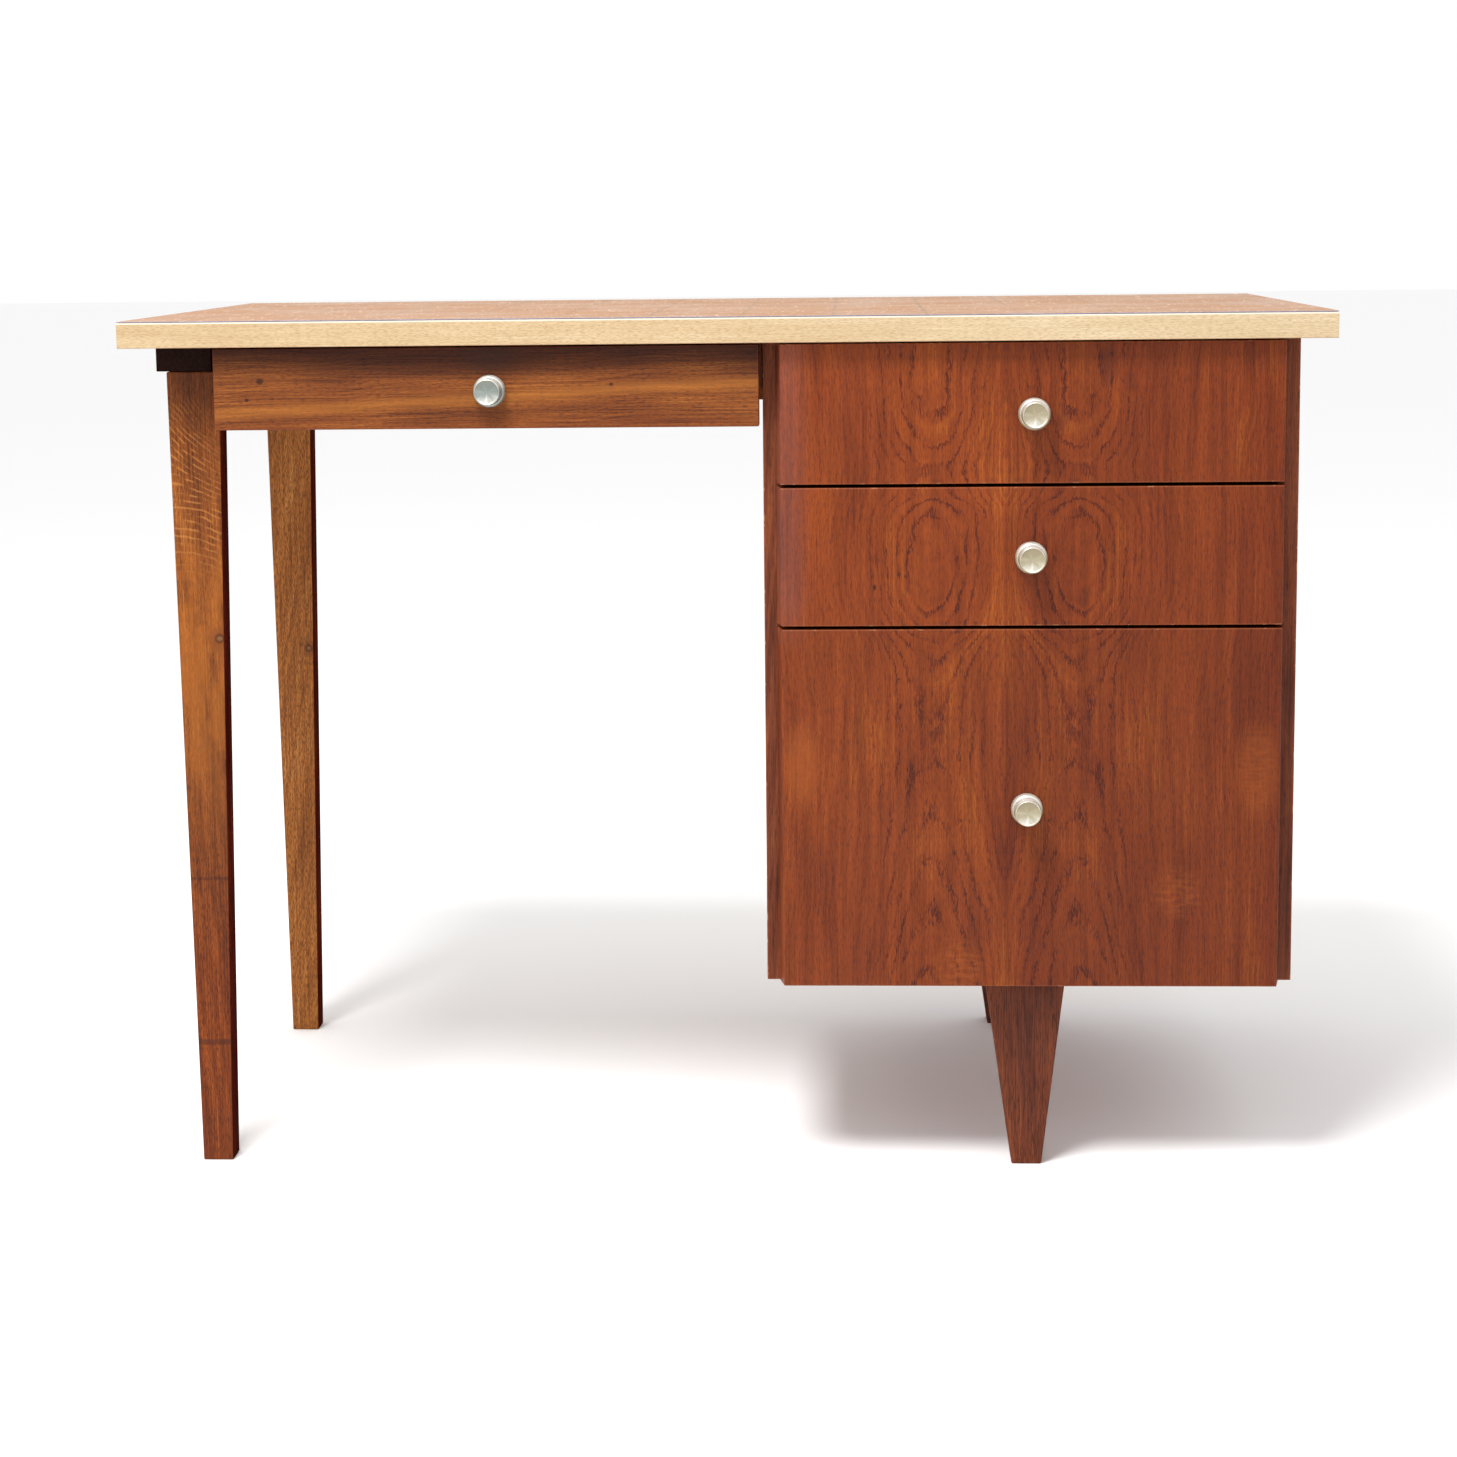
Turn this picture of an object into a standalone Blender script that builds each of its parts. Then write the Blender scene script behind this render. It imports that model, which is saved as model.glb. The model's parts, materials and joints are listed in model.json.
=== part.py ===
"""Writing desk with drawers, as separate pieces.

A laminated top rests on a drawer cabinet at the right and on a two-legged support at the left. A shallow
drawer hangs under the top between them. Metres, +Z up. X runs along the desk and Y from front to back. The
origin is on the floor, under the centre of the desk's box, which reaches forward to the knobs' faces.
"""

import math

import bmesh
import bpy
from mathutils import Matrix, Vector

# Overall sizes
DESK_WIDTH = 1.050
TOP_DEPTH = 0.570
DESK_HEIGHT = 0.762
GAP = 0.0003  # between pieces that touch

# Top: chipboard core, laminate skin and wooden edge bands
CORE_THICKNESS = 0.022
LAMINATE_THICKNESS = 0.0009
BAND_THICKNESS = 0.002

# Cabinet, with distances measured back from the top's front edge
CABINET_LEFT = 0.034
CABINET_RIGHT = 0.498
CABINET_FRONT = 0.0313
CABINET_REAR = 0.545
CABINET_UNDERSIDE = 0.170
PANEL_THICKNESS = 0.018
BACK_THICKNESS = 0.006
CABINET_RAIL_DEPTH = 0.050

# Drawer fronts
FRONT_SETBACK = 0.011
FRONT_THICKNESS = 0.020
FRONT_TAPER = 0.0042  # each cabinet front is this much narrower at its face, at both ends
CABINET_FACE_LEFT = 0.0495
CABINET_FACE_RIGHT = 0.4825
CENTRE_FACE_LEFT = -0.444
CENTRE_FACE_RIGHT = 0.0312

# Drawer boxes
SIDE_THICKNESS = 0.012
BOX_BACK_THICKNESS = 0.010
BOTTOM_THICKNESS = 0.004
BOTTOM_LIFT = 0.008  # from a side's lower edge up to the bottom panel
HOUSING_DEPTH = 0.0055  # how deep the bottom panel enters the sides and the front
SIDE_CLEARANCE = 0.0015  # between a drawer side and what carries its runner
GROOVE_HEIGHT = 0.016
GROOVE_DEPTH = 0.0065
RUNNER_HEIGHT = 0.015
RUNNER_REACH = 0.0075  # how far a runner stands out from what carries it
CABINET_BOX_LENGTH = 0.470
CENTRE_BOX_LENGTH = 0.400

# Knobs and screws
KNOB_LENGTH = 0.024
KNOB_BASE_RADIUS = 0.014
KNOB_FACE_RADIUS = 0.0113
KNOB_NECK_RADIUS = 0.0098
KNOB_DISH = 0.0022
KNOB_HOLE_DEPTH = 0.012
KNOB_SEGMENTS = 32
SCREW_RADIUS = 0.002
SCREW_HEAD_RADIUS = 0.004
SCREW_HEAD_HEIGHT = 0.0024
SCREW_HOLE_RADIUS = 0.0024
SCREW_SEGMENTS = 12
TOP_SCREW_INTO_CORE = 0.014

# Legs, each flat board tapering towards the floor
LEG_DEPTH = 0.026
SUPPORT_LEG_TOP = (-0.4900, -0.4425)
SUPPORT_LEG_FOOT = (-0.4815, -0.4540)
SUPPORT_LEG_SETBACKS = {"front": 0.0316, "rear": 0.456}
CABINET_LEG_TOP = (0.2280, 0.2990)
CABINET_LEG_FOOT = (0.2520, 0.2785)
CABINET_LEG_SETBACKS = {"front": 0.0316, "rear": 0.487}

# Left support: a cleat under the top, a rail between the legs and a rail to the cabinet
CLEAT_X = (-0.499, -0.450)
CLEAT_Y = (0.033, 0.535)
CLEAT_THICKNESS = 0.0214
SIDE_RAIL_X = (-0.4615, -0.4437)
SIDE_RAIL_UNDERSIDE = 0.665
REAR_RAIL_SETBACK = 0.460
REAR_RAIL_THICKNESS = 0.018
REAR_RAIL_UNDERSIDE = 0.662
HANGER_WIDTH = 0.017
HANGER_HEIGHT = 0.040

# Derived levels and planes
TOP_FRONT = -(TOP_DEPTH + KNOB_LENGTH - FRONT_SETBACK) / 2 + KNOB_LENGTH - FRONT_SETBACK
LAMINATE_UNDERSIDE = DESK_HEIGHT - LAMINATE_THICKNESS
CORE_TOP = LAMINATE_UNDERSIDE - GAP
CORE_UNDERSIDE = CORE_TOP - CORE_THICKNESS
UNDER_TOP = CORE_UNDERSIDE - GAP
CLEAT_UNDERSIDE = CORE_UNDERSIDE - GAP - CLEAT_THICKNESS
FRONT_BACK = FRONT_SETBACK + FRONT_THICKNESS
INNER_LEFT = CABINET_LEFT + PANEL_THICKNESS
INNER_RIGHT = CABINET_RIGHT - PANEL_THICKNESS
INNER_REAR = CABINET_REAR - BACK_THICKNESS
HANGER_LEFT_X = (SUPPORT_LEG_TOP[1] + GAP, SUPPORT_LEG_TOP[1] + GAP + HANGER_WIDTH)
HANGER_RIGHT_X = (CABINET_LEFT - GAP - HANGER_WIDTH, CABINET_LEFT - GAP)

# Colour, roughness and metallic value of each finish
FINISHES = {
    "laminate": ((0.62, 0.38, 0.26), 0.35, 0.0),
    "chipboard": ((0.50, 0.38, 0.24), 0.85, 0.0),
    "beech": ((0.82, 0.60, 0.34), 0.50, 0.0),
    "stained_veneer": ((0.30, 0.09, 0.035), 0.45, 0.0),
    "dark_oak": ((0.13, 0.055, 0.028), 0.55, 0.0),
    "oak": ((0.30, 0.13, 0.05), 0.50, 0.0),
    "dark_cleat": ((0.035, 0.02, 0.015), 0.60, 0.0),
    "pale_wood": ((0.60, 0.42, 0.24), 0.65, 0.0),
    "plywood": ((0.52, 0.36, 0.20), 0.70, 0.0),
    "nickel": ((0.72, 0.68, 0.56), 0.28, 1.0),
    "steel": ((0.55, 0.55, 0.55), 0.35, 1.0),
}

# Each drawer: face span in X, front's span in Z, box's span in Z, and how far its knob is right of centre and
# above it
DRAWERS = {
    "upper": {"face": (CABINET_FACE_LEFT, CABINET_FACE_RIGHT), "front": (0.6155, 0.7372),
              "box": (0.628, 0.714), "knob_shift": (0.0022, -0.0008)},
    "middle": {"face": (CABINET_FACE_LEFT, CABINET_FACE_RIGHT), "front": (0.4915, 0.6125),
               "box": (0.5035, 0.5895), "knob_shift": (0.0, -0.0008)},
    "lower": {"face": (CABINET_FACE_LEFT, CABINET_FACE_RIGHT), "front": (0.1695, 0.4885),
              "box": (0.192, 0.442), "knob_shift": (-0.0030, 0.0006)},
    "centre": {"face": (CENTRE_FACE_LEFT, CENTRE_FACE_RIGHT), "front": (0.6664, 0.7372),
               "box": (0.676, 0.728), "knob_shift": (0.0045, -0.0028)},
}


def clear_scene():
    for obj in list(bpy.data.objects):
        bpy.data.objects.remove(obj)


def from_front(setback):
    """The world Y of a plane this far behind the top's front edge."""
    return TOP_FRONT + setback


def make_body(name, location):
    """An empty that a moving assembly's pieces hang on."""
    empty = bpy.data.objects.new(name, None)
    empty.location = location
    bpy.context.scene.collection.objects.link(empty)
    return empty


def make_material(name, finish):
    colour, roughness, metallic = FINISHES[finish]
    material = bpy.data.materials.new(name)
    material.use_nodes = True
    shader = material.node_tree.nodes["Principled BSDF"]
    shader.inputs["Base Color"].default_value = (*colour, 1.0)
    shader.inputs["Roughness"].default_value = roughness
    shader.inputs["Metallic"].default_value = metallic
    return material


def make_object(name, mesh_builder, body=None):
    """An object whose origin is the middle of its own box, hung on its body's empty if it has one."""
    bmesh.ops.recalc_face_normals(mesh_builder, faces=mesh_builder.faces)
    corners = [vertex.co.copy() for vertex in mesh_builder.verts]
    low = Vector(min(co[i] for co in corners) for i in range(3))
    high = Vector(max(co[i] for co in corners) for i in range(3))
    centre = (low + high) / 2
    bmesh.ops.translate(mesh_builder, vec=-centre, verts=mesh_builder.verts)
    mesh = bpy.data.meshes.new(name)
    mesh_builder.to_mesh(mesh)
    mesh_builder.free()
    obj = bpy.data.objects.new(name, mesh)
    obj.location = centre
    if body:
        obj.parent = body
        obj.location = centre - body.location
    bpy.context.scene.collection.objects.link(obj)
    return obj


def finished(obj, finish, smooth=False):
    obj.data.materials.append(make_material(f"{obj.name}_finish", finish))
    if smooth:
        obj.data.shade_smooth()
        obj.data.set_sharp_from_angle(angle=math.radians(35))
    return obj


def prism(name, outline, axis, start, end, body=None):
    """The outline swept from start to end along an axis. Its points give the other two axes, in X, Y, Z order."""
    mesh_builder = bmesh.new()
    verts = []
    for first, second in outline:
        position = [first, second]
        position.insert(axis, start)
        verts.append(mesh_builder.verts.new(position))
    face = mesh_builder.faces.new(verts)
    swept = bmesh.ops.extrude_face_region(mesh_builder, geom=[face])
    moved = [item for item in swept["geom"] if isinstance(item, bmesh.types.BMVert)]
    along = Vector((0, 0, 0))
    along[axis] = end - start
    bmesh.ops.translate(mesh_builder, vec=along, verts=moved)
    return make_object(name, mesh_builder, body)


def block(name, x, y, z, body=None):
    """A rectangular board between pairs of X, Y and Z values."""
    outline = [(x[0], y[0]), (x[1], y[0]), (x[1], y[1]), (x[0], y[1])]
    return prism(name, outline, 2, z[0], z[1], body)


def turned(name, profile, base, direction, segments, body=None):
    """A turned solid. The profile runs from axis to axis as (radius, distance along direction from base)."""
    turn = Vector((0, 0, 1)).rotation_difference(Vector(direction)).to_matrix().to_4x4()
    mesh_builder = bmesh.new()
    rings = []
    for radius, distance in profile:
        if radius == 0:
            rings.append([mesh_builder.verts.new((0, 0, distance))])
            continue
        angles = [2 * math.pi * step / segments for step in range(segments)]
        rings.append([
            mesh_builder.verts.new((radius * math.cos(angle), radius * math.sin(angle), distance))
            for angle in angles
        ])
    for ring, following in zip(rings, rings[1:]):
        for step in range(segments):
            after = (step + 1) % segments
            corners = [ring[step % len(ring)], ring[after % len(ring)],
                       following[after % len(following)], following[step % len(following)]]
            mesh_builder.faces.new(list(dict.fromkeys(corners)))
    bmesh.ops.transform(mesh_builder, matrix=Matrix.Translation(base) @ turn, verts=mesh_builder.verts)
    return make_object(name, mesh_builder, body)


def cut(obj, cutter):
    """Takes a cutter's shape out of an object and keeps the cutter as a hidden guide."""
    modifier = obj.modifiers.new(f"cut_{cutter.name}", "BOOLEAN")
    modifier.operation = "DIFFERENCE"
    modifier.object = cutter
    cutter.hide_render = True
    cutter.display_type = "WIRE"


def hole(obj, base, direction, length, label, body=None):
    """Drills a clearance hole for a screw."""
    profile = [(0, 0), (SCREW_HOLE_RADIUS, 0), (SCREW_HOLE_RADIUS, length), (0, length)]
    cut(obj, turned(f"drill_{label}", profile, base, direction, SCREW_SEGMENTS, body))


def make_screw(name, head_seat, direction, length, body=None):
    """A screw whose head rests on head_seat and whose shank runs along direction to a blunt point."""
    tip = SCREW_RADIUS * 0.4
    profile = [
        (0, -SCREW_HEAD_HEIGHT),
        (SCREW_HEAD_RADIUS * 0.7, -SCREW_HEAD_HEIGHT),
        (SCREW_HEAD_RADIUS, -SCREW_HEAD_HEIGHT * 0.5),
        (SCREW_HEAD_RADIUS, 0),
        (SCREW_RADIUS, 0),
        (SCREW_RADIUS, length - 2 * SCREW_RADIUS),
        (tip, length),
        (0, length),
    ]
    finished(turned(name, profile, head_seat, direction, SCREW_SEGMENTS, body), "steel", smooth=True)


def make_top():
    half = DESK_WIDTH / 2
    front, rear = from_front(0), from_front(TOP_DEPTH)
    inset = BAND_THICKNESS + GAP
    level = (CORE_UNDERSIDE, CORE_TOP)
    core = block("top_core", (-half + inset, half - inset), (front + inset, rear - inset), level)
    laminate = block("top_laminate", (-half, half), (front, rear), (LAMINATE_UNDERSIDE, DESK_HEIGHT))
    finished(core, "chipboard")
    finished(laminate, "laminate")
    bands = {
        "front": ((-half, half), (front, front + BAND_THICKNESS)),
        "rear": ((-half, half), (rear - BAND_THICKNESS, rear)),
        "left": ((-half, -half + BAND_THICKNESS), (front + inset, rear - inset)),
        "right": ((half - BAND_THICKNESS, half), (front + inset, rear - inset)),
    }
    for place, (x, y) in bands.items():
        finished(block(f"edge_band_{place}", x, y, level), "beech")
    return core


def make_cabinet():
    side_y = (from_front(CABINET_FRONT), from_front(CABINET_REAR))
    side_z = (CABINET_UNDERSIDE, UNDER_TOP)
    between = (INNER_LEFT + GAP, INNER_RIGHT - GAP)
    bottom_y = (from_front(CABINET_FRONT), from_front(INNER_REAR) - GAP)
    bottom_z = (CABINET_UNDERSIDE, CABINET_UNDERSIDE + PANEL_THICKNESS)
    back_y = (from_front(INNER_REAR), from_front(CABINET_REAR))
    finished(block("cabinet_side_left", (CABINET_LEFT, INNER_LEFT), side_y, side_z), "dark_oak")
    finished(block("cabinet_side_right", (INNER_RIGHT, CABINET_RIGHT), side_y, side_z), "dark_oak")
    finished(block("cabinet_bottom", between, bottom_y, bottom_z), "stained_veneer")
    finished(block("cabinet_back", between, back_y, side_z), "plywood")


def make_cabinet_rails(core):
    """The two flat rails that tie the cabinet's sides together, each screwed up into the top."""
    between = (INNER_LEFT + GAP, INNER_RIGHT - GAP)
    level = (UNDER_TOP - PANEL_THICKNESS, UNDER_TOP)
    rear_end = INNER_REAR - GAP
    places = {"front": CABINET_FRONT + 0.002, "rear": rear_end - CABINET_RAIL_DEPTH}
    screw_inset = 0.060
    for place, setback in places.items():
        span = (from_front(setback), from_front(setback + CABINET_RAIL_DEPTH))
        rail = finished(block(f"cabinet_rail_{place}", between, span, level), "pale_wood")
        for side, x in (("left", between[0] + screw_inset), ("right", between[1] - screw_inset)):
            label = f"{place}_{side}"
            seat = Vector((x, sum(span) / 2, level[0]))
            below = seat - Vector((0, 0, 0.005))
            full = PANEL_THICKNESS + 0.010
            hole(rail, below, (0, 0, 1), full, f"rail_{label}")
            mouth = Vector((x, seat.y, CORE_UNDERSIDE - 0.005))
            hole(core, mouth, (0, 0, 1), 0.005 + TOP_SCREW_INTO_CORE + 0.001, f"core_{label}")
            shank = PANEL_THICKNESS + 2 * GAP + TOP_SCREW_INTO_CORE
            make_screw(f"top_screw_{label}", seat - Vector((0, 0, GAP)), (0, 0, 1), shank)


def tapered_leg(name, top, foot, setback, height, finish):
    """A board leg: a trapezoid seen from the front, with a constant depth."""
    outline = [(foot[0], 0), (foot[1], 0), (top[1], height), (top[0], height)]
    start = from_front(setback)
    finished(prism(name, outline, 1, start, start + LEG_DEPTH), finish)


def make_legs():
    for place, setback in SUPPORT_LEG_SETBACKS.items():
        tapered_leg(f"support_leg_{place}", SUPPORT_LEG_TOP, SUPPORT_LEG_FOOT, setback,
                    CLEAT_UNDERSIDE - GAP, "oak")
    for place, setback in CABINET_LEG_SETBACKS.items():
        tapered_leg(f"cabinet_leg_{place}", CABINET_LEG_TOP, CABINET_LEG_FOOT, setback,
                    CABINET_UNDERSIDE - GAP, "dark_oak")


def make_left_support():
    cleat_y = (from_front(CLEAT_Y[0]), from_front(CLEAT_Y[1]))
    finished(block("support_cleat", CLEAT_X, cleat_y, (CLEAT_UNDERSIDE, UNDER_TOP)), "dark_cleat")
    rail_y = (from_front(SUPPORT_LEG_SETBACKS["front"] + LEG_DEPTH) + GAP,
              from_front(SUPPORT_LEG_SETBACKS["rear"]) - GAP)
    rail_z = (SIDE_RAIL_UNDERSIDE, CLEAT_UNDERSIDE - GAP)
    finished(block("support_side_rail", SIDE_RAIL_X, rail_y, rail_z), "oak")
    rear_x = (SUPPORT_LEG_TOP[1] + GAP, CABINET_LEFT - GAP)
    rear_y = (from_front(REAR_RAIL_SETBACK), from_front(REAR_RAIL_SETBACK + REAR_RAIL_THICKNESS))
    finished(block("rear_rail", rear_x, rear_y, (REAR_RAIL_UNDERSIDE, UNDER_TOP)), "oak")


def box_span(drawer):
    """The outer X span of a drawer's box, which runs between what carries its runners."""
    if drawer == "centre":
        return HANGER_LEFT_X[1] + SIDE_CLEARANCE, HANGER_RIGHT_X[0] - SIDE_CLEARANCE
    return INNER_LEFT + SIDE_CLEARANCE, INNER_RIGHT - SIDE_CLEARANCE


def groove_levels(drawer):
    """The lower and upper levels of the groove that a drawer's runner fits in."""
    low, high = DRAWERS[drawer]["box"]
    middle = (low + high) / 2
    if drawer == "centre":
        middle = UNDER_TOP - HANGER_HEIGHT + GROOVE_HEIGHT / 2 + 0.002
    return middle - GROOVE_HEIGHT / 2, middle + GROOVE_HEIGHT / 2


def make_runners():
    """A strip on each cabinet side for each drawer to slide on."""
    span = (from_front(CABINET_FRONT + 0.004), from_front(INNER_REAR) - GAP)
    for drawer in ("upper", "middle", "lower"):
        top = groove_levels(drawer)[1] - GAP
        level = (top - RUNNER_HEIGHT, top)
        left = (INNER_LEFT + GAP, INNER_LEFT + RUNNER_REACH)
        right = (INNER_RIGHT - RUNNER_REACH, INNER_RIGHT - GAP)
        finished(block(f"runner_{drawer}_left", left, span, level), "pale_wood")
        finished(block(f"runner_{drawer}_right", right, span, level), "pale_wood")


def make_hangers():
    """The two rebated battens under the top. A tongue on each carries the centre drawer."""
    span = (from_front(FRONT_BACK + 0.004), from_front(REAR_RAIL_SETBACK) - GAP)
    tongue_top = groove_levels("centre")[1] - GAP
    tongue = (tongue_top - RUNNER_HEIGHT, tongue_top)
    low = UNDER_TOP - HANGER_HEIGHT
    sides = {
        "left": (*HANGER_LEFT_X, HANGER_LEFT_X[1] + RUNNER_REACH),
        "right": (HANGER_RIGHT_X[1], HANGER_RIGHT_X[0], HANGER_RIGHT_X[0] - RUNNER_REACH),
    }
    for side, (outer, inner, reach) in sides.items():
        outline = [(outer, low), (inner, low), (inner, tongue[0]), (reach, tongue[0]),
                   (reach, tongue[1]), (inner, tongue[1]), (inner, UNDER_TOP), (outer, UNDER_TOP)]
        finished(prism(f"drawer_hanger_{side}", outline, 1, *span), "dark_oak")


def drawer_side(name, outer, inward, drawer, span, body):
    """A board with a runner groove in its outer face and a housing for the bottom in its inner face."""
    low, high = DRAWERS[drawer]["box"]
    groove_low, groove_high = groove_levels(drawer)
    inner = outer + inward * SIDE_THICKNESS
    groove = outer + inward * GROOVE_DEPTH
    housing = inner - inward * HOUSING_DEPTH
    housing_low = low + BOTTOM_LIFT - GAP
    housing_high = low + BOTTOM_LIFT + BOTTOM_THICKNESS + GAP
    outline = [
        (outer, low), (inner, low),
        (inner, housing_low), (housing, housing_low), (housing, housing_high), (inner, housing_high),
        (inner, high), (outer, high),
        (outer, groove_high), (groove, groove_high), (groove, groove_low), (outer, groove_low),
    ]
    finished(prism(name, outline, 1, *span, body), "pale_wood")


def make_drawer_box(drawer, body):
    low, high = DRAWERS[drawer]["box"]
    left, right = box_span(drawer)
    length = CENTRE_BOX_LENGTH if drawer == "centre" else CABINET_BOX_LENGTH
    start = from_front(FRONT_BACK) + GAP
    end = start + length
    drawer_side(f"{drawer}_drawer_side_left", left, 1, drawer, (start, end), body)
    drawer_side(f"{drawer}_drawer_side_right", right, -1, drawer, (start, end), body)
    inside = (left + SIDE_THICKNESS + GAP, right - SIDE_THICKNESS - GAP)
    bottom_z = (low + BOTTOM_LIFT, low + BOTTOM_LIFT + BOTTOM_THICKNESS)
    back_y = (end - BOX_BACK_THICKNESS, end)
    back_z = (bottom_z[1] + GAP, high)
    finished(block(f"{drawer}_drawer_back", inside, back_y, back_z, body), "pale_wood")
    bottom_x = (inside[0] - HOUSING_DEPTH, inside[1] + HOUSING_DEPTH)
    bottom_y = (from_front(FRONT_BACK) - HOUSING_DEPTH + GAP, end)
    finished(block(f"{drawer}_drawer_bottom", bottom_x, bottom_y, bottom_z, body), "plywood")
    return bottom_x, bottom_z


def make_drawer_front(drawer, body, bottom_x, bottom_z):
    """The front board, housed for the bottom panel and drilled for the knob's screw."""
    left, right = DRAWERS[drawer]["face"]
    low, high = DRAWERS[drawer]["front"]
    taper = 0 if drawer == "centre" else FRONT_TAPER
    finish = "oak" if drawer == "centre" else "stained_veneer"
    face, back = from_front(FRONT_SETBACK), from_front(FRONT_BACK)
    outline = [(left, face), (right, face), (right + taper, back), (left - taper, back)]
    front = finished(prism(f"{drawer}_drawer_front", outline, 2, low, high, body), finish)
    housing_x = (bottom_x[0] - GAP, bottom_x[1] + GAP)
    housing_y = (back - HOUSING_DEPTH, back + 0.005)
    housing_z = (bottom_z[0] - GAP, bottom_z[1] + GAP)
    cut(front, block(f"housing_{drawer}", housing_x, housing_y, housing_z, body))
    across, up = DRAWERS[drawer]["knob_shift"]
    centre = Vector(((left + right) / 2 + across, face, (low + high) / 2 + up))
    hole(front, centre - Vector((0, 0.005, 0)), (0, 1, 0), FRONT_THICKNESS + 0.010, f"{drawer}_front", body)
    return centre


def make_knob(drawer, body, centre):
    """A turned metal knob: a wide rounded base, a waist, and a dished face inside a thin rim."""
    base, face, neck = KNOB_BASE_RADIUS, KNOB_FACE_RADIUS, KNOB_NECK_RADIUS
    length = KNOB_LENGTH - GAP
    profile = [
        (0, KNOB_HOLE_DEPTH), (SCREW_HOLE_RADIUS, KNOB_HOLE_DEPTH), (SCREW_HOLE_RADIUS, 0),
        (base * 0.97, 0), (base, 0.0010), (base, 0.0045), (base * 0.96, 0.0066), (base * 0.87, 0.0086),
        (neck * 1.06, 0.0112), (neck, 0.0145), (neck * 1.03, 0.0180), (face * 0.96, 0.0212),
        (face, length - 0.0012), (face, length - 0.0003), (face - 0.0004, length),
        (face - 0.0008, length), (face - 0.0013, length - 0.0008), (0, length - KNOB_DISH),
    ]
    seat = centre - Vector((0, GAP, 0))
    knob = turned(f"{drawer}_drawer_knob", profile, seat, (0, -1, 0), KNOB_SEGMENTS, body)
    finished(knob, "nickel", smooth=True)
    head_seat = centre + Vector((0, FRONT_THICKNESS + GAP, 0))
    shank = FRONT_THICKNESS + 2 * GAP + KNOB_HOLE_DEPTH - 0.002
    make_screw(f"{drawer}_drawer_knob_screw", head_seat, (0, -1, 0), shank, body)


def make_drawers():
    for drawer, sizes in DRAWERS.items():
        middle_x = sum(sizes["face"]) / 2
        middle_z = sum(sizes["front"]) / 2
        body = make_body(f"{drawer}_drawer", Vector((middle_x, from_front(FRONT_BACK), middle_z)))
        bottom_x, bottom_z = make_drawer_box(drawer, body)
        centre = make_drawer_front(drawer, body, bottom_x, bottom_z)
        make_knob(drawer, body, centre)


def main():
    clear_scene()
    core = make_top()
    make_cabinet()
    make_cabinet_rails(core)
    make_legs()
    make_left_support()
    make_runners()
    make_hangers()
    make_drawers()


main()
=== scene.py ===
"""Looks of the writing desk with drawers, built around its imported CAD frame.

Most boards are rounded copies of their CAD nodes. The laminate, the drawer fronts and the knobs are built to
their nodes' boxes, and the cabinet's rails and the screws stay as they are. Every surface has a procedural
material. Lengths are metres, in the frame's own axes: X along the desk, Y from front to back, Z up from the
floor.
"""

import json
import math

import bmesh
import bpy
from mathutils import Matrix, Vector


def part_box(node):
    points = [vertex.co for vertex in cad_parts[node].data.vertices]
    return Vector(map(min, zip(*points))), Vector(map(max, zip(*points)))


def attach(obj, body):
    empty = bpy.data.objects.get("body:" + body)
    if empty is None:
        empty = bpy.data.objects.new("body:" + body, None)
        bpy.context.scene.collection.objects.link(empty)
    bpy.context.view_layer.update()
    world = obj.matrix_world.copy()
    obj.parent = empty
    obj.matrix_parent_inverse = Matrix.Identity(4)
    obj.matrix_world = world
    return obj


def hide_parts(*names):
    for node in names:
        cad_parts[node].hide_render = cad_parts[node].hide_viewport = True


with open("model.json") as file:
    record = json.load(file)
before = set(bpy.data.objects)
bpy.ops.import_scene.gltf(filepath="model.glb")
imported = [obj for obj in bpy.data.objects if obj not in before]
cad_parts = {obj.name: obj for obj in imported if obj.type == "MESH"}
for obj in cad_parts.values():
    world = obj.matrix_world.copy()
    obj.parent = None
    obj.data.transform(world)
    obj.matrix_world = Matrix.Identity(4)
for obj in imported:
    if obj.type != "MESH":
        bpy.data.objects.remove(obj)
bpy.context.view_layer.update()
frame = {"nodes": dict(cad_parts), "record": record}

NODE_BODY = {node: body for body, nodes in frame["record"]["behaviour"]["bodies"].items() for node in nodes}
NODE_SLOT = {part["node"]: part["material_slot"] for part in frame["record"]["subparts"]}

# The view
CAMERA_PLACE = (0.1090, -2.4633)  # across, and back from the top's front edge
CAMERA_HEIGHT = 0.8421
CAMERA_YAW = math.radians(2.838)
CAMERA_PITCH = math.radians(7.690)
CAMERA_ROLL = math.radians(-0.639)
CAMERA_LENS = 70.76
CAMERA_SHIFT = (0.0133, -0.0822)

# Roundings of the boards' arrises
ARRIS = 0.0009
FINE_ARRIS = 0.0004
LEG_ARRIS = 0.0014

WORN_WIDTH = 0.0016  # of the worn line along an arris

FRONT_TAPER = 0.0042  # by which a cabinet front is narrower at its face than at its back, at each end


def linear(red, green, blue):
    """A colour given as the eye reads it, 0 to 255, as the shader's linear values."""
    values = [channel / 255 for channel in (red, green, blue)]
    return tuple(v / 12.92 if v <= 0.04045 else ((v + 0.055) / 1.055) ** 2.4 for v in values) + (1.0,)


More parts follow.
